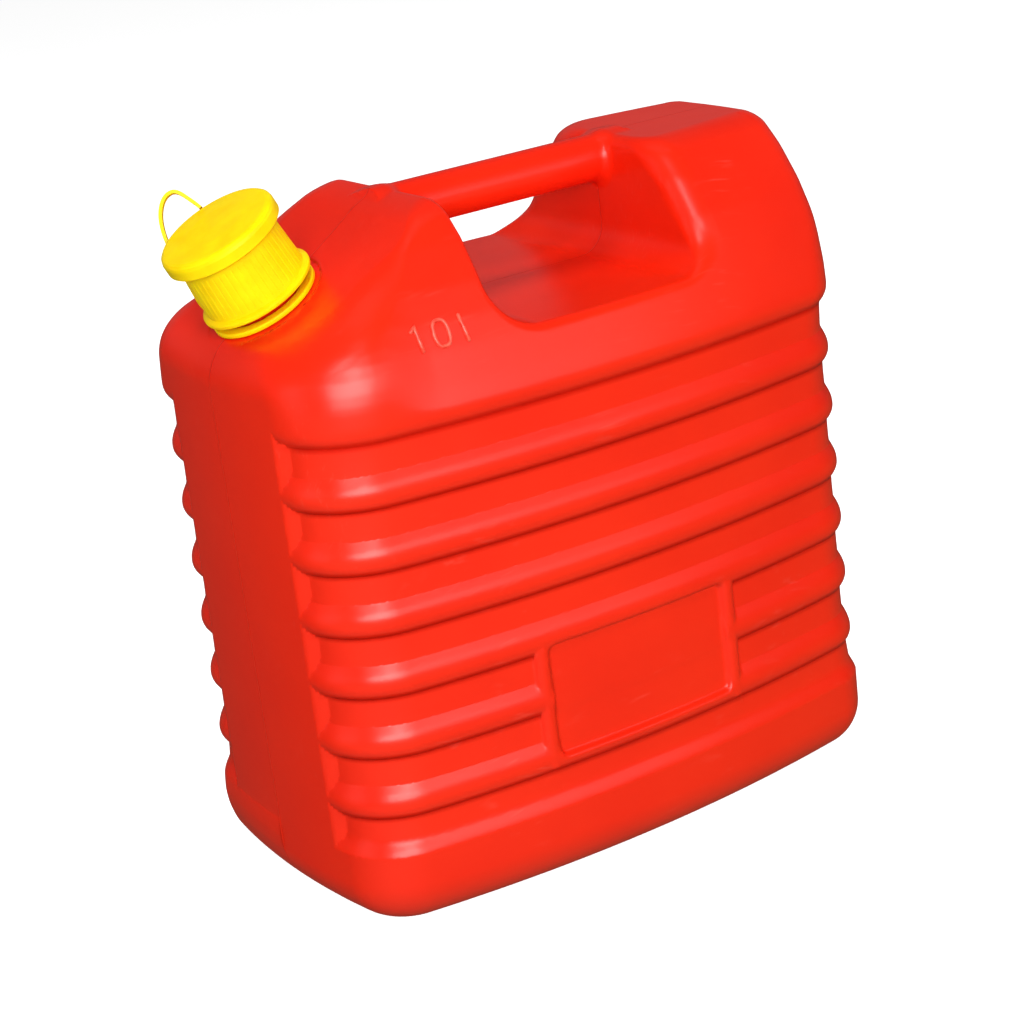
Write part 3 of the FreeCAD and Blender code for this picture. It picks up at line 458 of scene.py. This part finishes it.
# ------------------------------------------------------------------ materials
def new_material(name):
    m = bpy.data.materials.new(name)
    m.use_nodes = True
    nt = m.node_tree
    nt.nodes.clear()
    out = nt.nodes.new("ShaderNodeOutputMaterial")
    bsdf = nt.nodes.new("ShaderNodeBsdfPrincipled")
    nt.links.new(bsdf.outputs[0], out.inputs[0])
    return m, nt, bsdf


def node(nt, kind, **kw):
    n = nt.nodes.new(kind)
    for k, v in kw.items():
        if k.startswith("i_"):
            n.inputs[k[2:].replace("_", " ")].default_value = v
        else:
            setattr(n, k, v)
    return n


def ramp(nt, src, stops):
    r = nt.nodes.new("ShaderNodeValToRGB")
    el = r.color_ramp.elements
    while len(el) < len(stops):
        el.new(0.5)
    for e, (p, c) in zip(el, stops):
        e.position = p
        e.color = (c, c, c, 1) if not hasattr(c, "__len__") else (*c, 1)
    nt.links.new(src, r.inputs[0])
    return r.outputs[0]


def math_node(nt, op, a, b=None, c=None):
    n = nt.nodes.new("ShaderNodeMath")
    n.operation = op
    for i, v in enumerate((a, b, c)):
        if v is None:
            continue
        if isinstance(v, (int, float)):
            n.inputs[i].default_value = v
        else:
            nt.links.new(v, n.inputs[i])
    return n.outputs[0]


def plastic_red():
    m, nt, b = new_material("red_polyethylene")
    tc = node(nt, "ShaderNodeTexCoord")
    obj = tc.outputs["Object"]
    sep = node(nt, "ShaderNodeSeparateXYZ")
    nt.links.new(obj, sep.inputs[0])
    # colour: slow clouding of the pigment and a little paling on scuffed ridges
    cloud = node(nt, "ShaderNodeTexNoise", i_Scale=14.0, i_Detail=3.0, i_Roughness=0.5)
    nt.links.new(obj, cloud.inputs["Vector"])
    mix = node(nt, "ShaderNodeMix", data_type="RGBA")
    mix.inputs[6].default_value = (0.76, 0.013, 0.0020, 1)
    mix.inputs[7].default_value = (0.81, 0.018, 0.0030, 1)
    nt.links.new(ramp(nt, cloud.outputs[0], [(0.3, 0.0), (0.7, 1.0)]), mix.inputs[0])
    # fine scuffs: long thin marks in two directions
    mp = node(nt, "ShaderNodeMapping")
    mp.inputs["Rotation"].default_value = (0.3, 0.5, 0.9)
    mp.inputs["Scale"].default_value = (40, 900, 260)
    nt.links.new(obj, mp.inputs[0])
    sc = node(nt, "ShaderNodeTexNoise", i_Scale=1.0, i_Detail=2.0)
    nt.links.new(mp.outputs[0], sc.inputs["Vector"])
    patch = node(nt, "ShaderNodeTexNoise", i_Scale=22.0, i_Detail=2.0)
    nt.links.new(obj, patch.inputs["Vector"])
    scuff = math_node(nt, "MULTIPLY", ramp(nt, sc.outputs[0], [(0.60, 0.0), (0.74, 1.0)]),
                      ramp(nt, patch.outputs[0], [(0.50, 0.0), (0.66, 1.0)]))
    mix2 = node(nt, "ShaderNodeMix", data_type="RGBA")
    nt.links.new(math_node(nt, "MULTIPLY", scuff, 0.06), mix2.inputs[0])
    nt.links.new(mix.outputs[2], mix2.inputs[6])
    mix2.inputs[7].default_value = (0.95, 0.30, 0.24, 1)
    # painted shade at the bottom of the sharp creases under the ribs: the base colour is darkened and the specular
    # lowered there
    xc, yc, zc = sep.outputs[0], sep.outputs[1], sep.outputs[2]
    ph = math_node(nt, "DIVIDE", math_node(nt, "SUBTRACT", LINE0 * MM + 0.0003, zc), PITCH * MM)
    near_line = math_node(nt, "ABSOLUTE", math_node(nt, "SUBTRACT", math_node(nt, "FRACT", math_node(nt, "ADD", ph, 0.5)), 0.5))
    crease_shade = ramp(nt, near_line, [(0.008, 1.0), (0.095, 0.0)])
    on_wall = ramp(nt, math_node(nt, "ABSOLUTE", yc), [(0.046, 0.0), (0.054, 1.0)])
    stack = math_node(nt, "MULTIPLY", math_node(nt, "GREATER_THAN", ph, -0.4), math_node(nt, "LESS_THAN", ph, 6.4))
    panel = math_node(nt, "MULTIPLY", math_node(nt, "LESS_THAN", math_node(nt, "ABSOLUTE", xc), (FX + FB) * MM),
                      math_node(nt, "MULTIPLY", math_node(nt, "GREATER_THAN", zc, (FZ0 - 3) * MM),
                                math_node(nt, "LESS_THAN", zc, (FZ1 + 1) * MM)))
    panel = math_node(nt, "MULTIPLY", panel, math_node(nt, "LESS_THAN", yc, 0.0))
    crease_shade = math_node(nt, "MULTIPLY", math_node(nt, "MULTIPLY", crease_shade, on_wall),
                       math_node(nt, "MULTIPLY", stack, math_node(nt, "SUBTRACT", 1.0, panel)))
    parting = math_node(nt, "MULTIPLY", math_node(nt, "LESS_THAN", math_node(nt, "ABSOLUTE", yc), 0.00035),
                        math_node(nt, "GREATER_THAN", zc, 0.236))
    # painted crease shade and the darker seam line share this dark red mix
    crease_shade_and_seam = node(nt, "ShaderNodeMix", data_type="RGBA")
    nt.links.new(math_node(nt, "MAXIMUM", math_node(nt, "MULTIPLY", crease_shade, 0.62), math_node(nt, "MULTIPLY", parting, 0.28)), crease_shade_and_seam.inputs[0])
    nt.links.new(mix2.outputs[2], crease_shade_and_seam.inputs[6])
    crease_shade_and_seam.inputs[7].default_value = (0.36, 0.001, 0.0008, 1)
    nt.links.new(crease_shade_and_seam.outputs[2], b.inputs["Base Color"])
    nt.links.new(math_node(nt, "MULTIPLY_ADD", crease_shade, -0.28, 0.35), b.inputs["Specular IOR Level"])
    # gloss: satin, broken up slowly, duller in the scuffs
    gl = node(nt, "ShaderNodeTexNoise", i_Scale=60.0, i_Detail=4.0)
    nt.links.new(obj, gl.inputs["Vector"])
    rough = math_node(nt, "ADD", math_node(nt, "MULTIPLY", gl.outputs[0], 0.06), 0.27)
    rough = math_node(nt, "ADD", rough, math_node(nt, "MULTIPLY", scuff, 0.05))
    nt.links.new(rough, b.inputs["Roughness"])
    # skin: blown plastic is slightly leathery and carries a seam in the plane y = 0
    leather = node(nt, "ShaderNodeTexNoise", i_Scale=420.0, i_Detail=3.0, i_Roughness=0.6)
    nt.links.new(obj, leather.inputs["Vector"])
    wave = node(nt, "ShaderNodeTexNoise", i_Scale=38.0, i_Detail=2.0)
    nt.links.new(obj, wave.inputs["Vector"])
    seam = math_node(nt, "SUBTRACT", 1.0, math_node(nt, "MINIMUM", math_node(
        nt, "DIVIDE", math_node(nt, "ABSOLUTE", sep.outputs[1]), 0.00045), 1.0))
    h = math_node(nt, "ADD", math_node(nt, "MULTIPLY", leather.outputs[0], 0.02),
                  math_node(nt, "MULTIPLY", wave.outputs[0], 0.03))
    h = math_node(nt, "ADD", h, math_node(nt, "MULTIPLY", seam, 0.9))
    h = math_node(nt, "SUBTRACT", h, math_node(nt, "MULTIPLY", scuff, 0.008))
    bump = node(nt, "ShaderNodeBump")
    bump.inputs["Strength"].default_value = 0.5
    bump.inputs["Distance"].default_value = 0.00028
    nt.links.new(h, bump.inputs["Height"])
    nt.links.new(bump.outputs[0], b.inputs["Normal"])
    b.inputs["IOR"].default_value = 1.50
    b.inputs["Subsurface Weight"].default_value = 0.04
    b.inputs["Subsurface Radius"].default_value = (1.0, 0.12, 0.06)
    b.inputs["Subsurface Scale"].default_value = 0.004
    return m


def plastic_yellow():
    m, nt, b = new_material("yellow_polyethylene")
    tc = node(nt, "ShaderNodeTexCoord")
    obj = tc.outputs["Object"]
    cloud = node(nt, "ShaderNodeTexNoise", i_Scale=90.0, i_Detail=3.0)
    nt.links.new(obj, cloud.inputs["Vector"])
    mix = node(nt, "ShaderNodeMix", data_type="RGBA")
    mix.inputs[6].default_value = (0.93, 0.60, 0.001, 1)
    mix.inputs[7].default_value = (0.97, 0.68, 0.002, 1)
    nt.links.new(ramp(nt, cloud.outputs[0], [(0.35, 0.0), (0.65, 1.0)]), mix.inputs[0])
    nt.links.new(mix.outputs[2], b.inputs["Base Color"])
    gl = node(nt, "ShaderNodeTexNoise", i_Scale=240.0, i_Detail=3.0)
    nt.links.new(obj, gl.inputs["Vector"])
    nt.links.new(math_node(nt, "ADD", math_node(nt, "MULTIPLY", gl.outputs[0], 0.14), 0.30), b.inputs["Roughness"])
    fine = node(nt, "ShaderNodeTexNoise", i_Scale=900.0, i_Detail=2.0)
    nt.links.new(obj, fine.inputs["Vector"])
    bump = node(nt, "ShaderNodeBump")
    bump.inputs["Strength"].default_value = 0.35
    bump.inputs["Distance"].default_value = 0.0001
    nt.links.new(fine.outputs[0], bump.inputs["Height"])
    nt.links.new(bump.outputs[0], b.inputs["Normal"])
    b.inputs["IOR"].default_value = 1.50
    b.inputs["Specular IOR Level"].default_value = 0.14
    b.inputs["Subsurface Weight"].default_value = 0.25
    b.inputs["Subsurface Radius"].default_value = (1.0, 0.55, 0.03)
    b.inputs["Subsurface Scale"].default_value = 0.004
    return m


def rubber_black():
    m, nt, b = new_material("seal_rubber")
    tc = node(nt, "ShaderNodeTexCoord")
    nz = node(nt, "ShaderNodeTexNoise", i_Scale=700.0, i_Detail=3.0)
    nt.links.new(tc.outputs["Object"], nz.inputs["Vector"])
    nt.links.new(ramp(nt, nz.outputs[0], [(0.3, (0.012, 0.012, 0.012)), (0.7, (0.03, 0.03, 0.03))]), b.inputs["Base Color"])
    nt.links.new(math_node(nt, "ADD", math_node(nt, "MULTIPLY", nz.outputs[0], 0.2), 0.55), b.inputs["Roughness"])
    bump = node(nt, "ShaderNodeBump")
    bump.inputs["Strength"].default_value = 0.4
    bump.inputs["Distance"].default_value = 0.0001
    nt.links.new(nz.outputs[0], bump.inputs["Height"])
    nt.links.new(bump.outputs[0], b.inputs["Normal"])
    return m


RED, YELLOW, BLACK = plastic_red(), plastic_yellow(), rubber_black()


def plastic_figures_painted_sheen():
    # the raised figures: the same plastic, painted paler as a painted highlight on the raised strokes
    m, nt, b = new_material("red_polyethylene_painted_sheen")
    tc = node(nt, "ShaderNodeTexCoord")
    nz = node(nt, "ShaderNodeTexNoise", i_Scale=500.0, i_Detail=3.0)
    nt.links.new(tc.outputs["Object"], nz.inputs["Vector"])
    nt.links.new(ramp(nt, nz.outputs[0], [(0.35, (0.78, 0.040, 0.022)), (0.65, (0.82, 0.105, 0.066))]), b.inputs["Base Color"])
    b.inputs["Roughness"].default_value = 0.30
    b.inputs["Specular IOR Level"].default_value = 0.40
    return m


RED_FIGURES_PAINTED_SHEEN = plastic_figures_painted_sheen()

# ------------------------------------------------------------------ canister
h = 1.35
# cell centres lie on the crease lines, which are a whole number of cells apart
lo, hi = (-146, -92, LINE0 - 0.05 - (round(220 / h) + 0.5) * h), (146, 92, 303)
ov, oq = surface_mesh(canister_form, lo, hi, h)

# neck tube with its thread, in the neck's own frame
neck_prof = smooth_chain([(16.2, -8), (18.2, -8), (18.2, 27.0), (16.2, 27.0)], [0, 0, 0.5, 0.4])
nv, nq = revolve(neck_prof, 128)


def thread(base, crest, s0, turns, pitch, wide, narrow, n=72):
    k = int(turns * n)
    v, q = [], []
    for i in range(k + 1):
        a = 2 * math.pi * i / n
        f = min(1.0, i / (0.12 * n), (k - i) / (0.12 * n))
        c = base + (crest - base) * f
        z = s0 + pitch * i / n
        ca, sa = math.cos(a), math.sin(a)
        for r, dz in ((base - 0.3 if crest > base else base + 0.3, -wide / 2), (c, -narrow / 2), (c, narrow / 2),
                      (base - 0.3 if crest > base else base + 0.3, wide / 2)):
            v.append((r * ca, r * sa, z + dz))
    for i in range(k):
        for j in range(4):
            a, b = i * 4 + j, i * 4 + (j + 1) % 4
            q.append((a, b, b + 4, a + 4) if crest > base else (a, a + 4, b + 4, b))
    q.append((0, 3, 2, 1))
    q.append((k * 4, k * 4 + 1, k * 4 + 2, k * 4 + 3))
    return np.array(v), np.array(q)


tv, tq = thread(18.2, 19.6, 9.0, 3.25, 4.0, 2.0, 1.0)
# small foot where the neck leaves the platform
fv, fq = revolve([(18.2, 1.2), (18.35, 0.55), (18.75, 0.12), (19.15, -0.3), (17.5, -0.3), (17.5, 1.2)], 128)

# opening of the neck through the shell: faces inside the bore are taken out
loc2 = ov - np.array([NX, 0, NZ])
s_ax = -SI * loc2[:, 0] + CO * loc2[:, 2]
r_ax = np.hypot(CO * loc2[:, 0] + SI * loc2[:, 2], loc2[:, 1])
gone = (r_ax < 16.9) & (np.abs(s_ax) < 6)
keep = ~gone[oq].any(1)
oq = oq[keep]

# wall's inner side, coarser
WALL = 2.2


def inner_form(x, y, z):
    d = canister_form(x, y, z) + WALL
    return d


iv, iq = surface_mesh(inner_form, lo, hi, 3.2, 2)
iq = iq[:, ::-1]
loc3 = iv - np.array([NX, 0, NZ])
s3 = -SI * loc3[:, 0] + CO * loc3[:, 2]
r3 = np.hypot(CO * loc3[:, 0] + SI * loc3[:, 2], loc3[:, 1])
iq = iq[~((r3 < 17.2) & (np.abs(s3) < 8))[iq].any(1)]


def join(parts):
    vs, fs, off = [], [], 0
    for v, f in parts:
        vs.append(np.asarray(v, float))
        fs.append(np.asarray(f) + off)
        off += len(v)
    return np.vstack(vs), [tuple(r) for f in fs for r in f]


# capacity figures: thin rounded strokes lying on the upper front face
def on_surface(px, pz):
    p = np.array([px, -74.0, pz], float)
    for _ in range(12):
        f = float(canister_form(*[np.array([c]) for c in p])[0])
        gy = (float(canister_form(np.array([p[0]]), np.array([p[1] + 0.05]), np.array([p[2]]))[0]) - f) / 0.05
        p[1] -= f / gy
    g = np.array([float(canister_form(*[np.array([p[j] + 0.05 * (i == j)]) for j in range(3)])[0]) for i in range(3)]) / 0.05
    return p, g / np.linalg.norm(g)


def stroke(pts, r=0.80, closed=False, rise=0.72):
    ps = [on_surface(*q) for q in pts]
    c = np.array([p + n * (rise - r * 0.55) for p, n in ps])
    nn = np.array([n for _, n in ps])
    k = len(c)
    v, f = [], []
    m = 10
    for i in range(k):
        a = c[(i - 1) % k] if closed or i > 0 else c[i]
        b = c[(i + 1) % k] if closed or i < k - 1 else c[i]
        t = (b - a) / np.linalg.norm(b - a)
        s = np.cross(t, nn[i])
        s /= np.linalg.norm(s)
        u = np.cross(s, t)
        end = 1.0
        for j in range(m):
            w = 2 * math.pi * j / m
            v.append(c[i] + end * r * (math.cos(w) * s + math.sin(w) * u))
    for i in range(k if closed else k - 1):
        for j in range(m):
            f.append((i * m + j, ((i + 1) % k) * m + j, ((i + 1) % k) * m + (j + 1) % m, i * m + (j + 1) % m))
    if not closed:
        # rounded ends
        for e, sgn in ((0, -1), (k - 1, 1)):
            t = (c[1] - c[0]) if e == 0 else (c[-1] - c[-2])
            t = t / np.linalg.norm(t)
            tip = c[e] + sgn * t * r * 0.8 if e else c[0] - t * r * 0.8
            ti = len(v)
            v.append(tip)
            for j in range(m):
                a, b = e * m + j, e * m + (j + 1) % m
                f.append((b, a, ti) if e else (a, b, ti))
    return np.array(v), f


def figure_points(kind, cx, zc):
    if kind == "one":
        return [[(cx - 2.2, zc + 2.9), (cx - 1.1, zc + 3.7), (cx + 0.1, zc + 5.0), (cx + 0.3, zc + 2.0),
                 (cx + 0.6, zc - 1.6), (cx + 0.9, zc - 5.2)]], False
    if kind == "ell":
        return [[(cx - 0.6, zc + 5.2), (cx - 0.2, zc + 1.8), (cx + 0.2, zc - 1.8), (cx + 0.6, zc - 5.2)]], False
    w, hh = 3.3, 5.0
    p = []
    for a in np.linspace(0, 2 * math.pi, 40, endpoint=False):
        ca, sa = math.cos(a), math.sin(a)
        p.append((cx + w * math.copysign(abs(ca) ** 0.72, ca), zc + hh * math.copysign(abs(sa) ** 0.82, sa)))
    return [p], True


marks = []
for kind, cx in (("one", -82.6), ("zero", -71.8), ("ell", -61.8)):
    runs, closed = figure_points(kind, cx, 250.6)
    for run in runs:
        marks.append(stroke(run, closed=closed))

parts = [(ov, oq), (iv, iq), (tilted(nv), nq), (tilted(tv), tq), (tilted(fv), fq)]
v_all, f_all = join(parts)
off = len(v_all)
for v, f in marks:
    v_all = np.vstack([v_all, v])
    f_all += [tuple(i + off for i in q) for q in f]
    off = len(v_all)
used = np.zeros(len(v_all), bool)
used[np.unique(np.concatenate([np.array(f) for f in f_all]))] = True
remap = np.cumsum(used) - 1
f_all = [tuple(remap[i] for i in f) for f in f_all]
can = make_object("canister_shell", v_all[used], f_all, RED, outer=int(used[:len(ov)].sum()), bend=round(12.2 / h) * h)
can.data.materials.append(RED_FIGURES_PAINTED_SHEEN)
n_mark = sum(len(f) for _, f in marks)
mi = np.zeros(len(can.data.polygons), np.int32)
mi[-n_mark:] = 1
can.data.polygons.foreach_set("material_index", mi)
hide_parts("canister")
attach(can, "can")

# ------------------------------------------------------------------ CAD nodes that keep their shape
for name, mat in (("screw_collar", YELLOW), ("pour_spout", YELLOW), ("lid", YELLOW), ("tether_ring", YELLOW),
                  ("spout_gasket", BLACK), ("lid_seal", BLACK)):
    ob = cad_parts[name]
    ob.data.materials.clear()
    ob.data.materials.append(mat)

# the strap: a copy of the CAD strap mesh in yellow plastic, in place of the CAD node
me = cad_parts["tether_strap"].data.copy()
me.name = "strap_flexible"
me.materials.clear()
me.materials.append(YELLOW)
band = bpy.data.objects.new("strap_flexible", me)
bpy.context.scene.collection.objects.link(band)
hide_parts("tether_strap")
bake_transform(band)

# ------------------------------------------------------------------ floor and light
fm, nt, b = new_material("studio_floor")
b.inputs["Roughness"].default_value = 0.9
b.inputs["Specular IOR Level"].default_value = 0.1
tc = node(nt, "ShaderNodeTexCoord")
fn_ = node(nt, "ShaderNodeTexNoise", i_Scale=3.0, i_Detail=2.0)
nt.links.new(tc.outputs["Object"], fn_.inputs["Vector"])
nt.links.new(ramp(nt, fn_.outputs[0], [(0.2, (0.88, 0.88, 0.88)), (0.8, (0.90, 0.90, 0.90))]), b.inputs["Base Color"])
b.inputs["Emission Color"].default_value = (1, 1, 1, 1)
b.inputs["Emission Strength"].default_value = 0.84
me = bpy.data.meshes.new("floor")
me.from_pydata([(-6, -6, 0), (6, -6, 0), (6, 6, 0), (-6, 6, 0)], [], [(0, 1, 2, 3)])
floor = bpy.data.objects.new("floor", me)
scene.collection.objects.link(floor)
me.materials.append(fm)
floor.visible_diffuse = False
floor.visible_glossy = False
floor.visible_shadow = False

world = bpy.data.worlds.new("studio")
scene.world = world
world.use_nodes = True
wn = world.node_tree
wb = wn.nodes["Background"]
wt = wn.nodes.new("ShaderNodeTexCoord")
ws = wn.nodes.new("ShaderNodeSeparateXYZ")
wn.links.new(wt.outputs["Generated"], ws.inputs[0])
up = ramp(wn, math_node(wn, "MULTIPLY_ADD", ws.outputs[2], 0.5, 0.5), [(0.45, 0.02), (0.50, 0.05), (0.62, 0.06), (1.0, 0.10)])
rear = ramp(wn, math_node(wn, "MULTIPLY_ADD", ws.outputs[1], 0.5, 0.5), [(0.45, 0.0), (0.85, 0.12)])
high = ramp(wn, math_node(wn, "MULTIPLY_ADD", ws.outputs[2], 0.5, 0.5), [(0.50, 0.0), (0.56, 1.0), (0.68, 1.0), (0.74, 0.1)])
low = ramp(wn, math_node(wn, "MULTIPLY_ADD", ws.outputs[2], 0.5, 0.5), [(0.45, 1.0), (0.51, 0.0)])
fore = ramp(wn, math_node(wn, "MULTIPLY_ADD", ws.outputs[1], 0.5, 0.5), [(0.30, 1.0), (0.80, 0.16)])
side = ramp(wn, math_node(wn, "MULTIPLY_ADD", ws.outputs[0], 0.5, 0.5), [(0.26, (0.42, 0.52, 0.40)), (0.62, (0.28, 0.40, 0.26)), (0.85, (0.14, 0.22, 0.11))])
bounce = wn.nodes.new("ShaderNodeVectorMath")
bounce.operation = "SCALE"
wn.links.new(side, bounce.inputs[0])
wn.links.new(math_node(wn, "MULTIPLY", low, fore), bounce.inputs["Scale"])
total = wn.nodes.new("ShaderNodeVectorMath")
total.operation = "ADD"
wn.links.new(math_node(wn, "MULTIPLY_ADD", rear, high, up), total.inputs[0])
wn.links.new(bounce.outputs[0], total.inputs[1])
wn.links.new(total.outputs[0], wb.inputs[0])
wb.inputs[1].default_value = 1.0


def softbox(name, direction, dist, wide, tall, radiance, shine=True):
    """Rectangular light seen from the can in a given direction; a light without shine only fills."""
    d = Vector(direction).normalized()
    ld = bpy.data.lights.new(name, "AREA")
    ld.shape = "RECTANGLE"
    ld.size, ld.size_y = wide, tall
    ld.energy = radiance * math.pi * wide * tall
    ob = bpy.data.objects.new(name, ld)
    scene.collection.objects.link(ob)
    ob.location = Vector((0, 0, 0.2)) + d * dist
    ob.rotation_euler = (-d).to_track_quat("-Z", "Y").to_euler()
    ob.visible_glossy = shine
    return ob


softbox("key", (-0.46, -0.84, 0.28), 1.7, 1.25, 0.44, 12.5)
softbox("key_high", (-0.38, -0.79, 0.49), 1.7, 0.34, 0.40, 10.0)
softbox("key_top", (-0.50, -0.50, 0.70), 1.7, 0.40, 0.56, 7.6)
softbox("key_edge", (0.10, -0.96, 0.24), 1.7, 0.50, 0.45, 3.4)
softbox("front_soft", (0.40, -0.86, 0.20), 1.8, 0.75, 0.45, 1.5)
softbox("front_fill", (0.38, -0.84, 0.38), 1.9, 1.60, 0.60, 1.85, False)
softbox("left_fill", (-0.97, 0.05, 0.20), 1.9, 0.90, 1.00, 2.7, False)
softbox("overhead", (0.0, 0.12, 0.99), 1.8, 1.00, 0.90, 5.0, False)
softbox("rear_fill", (0.05, 0.99, 0.04), 1.9, 1.80, 0.80, 0.6, False)
softbox("right_fill", (0.95, 0.05, 0.25), 1.8, 1.00, 1.20, 0.7, False)
scene.view_settings.view_transform = "Standard"
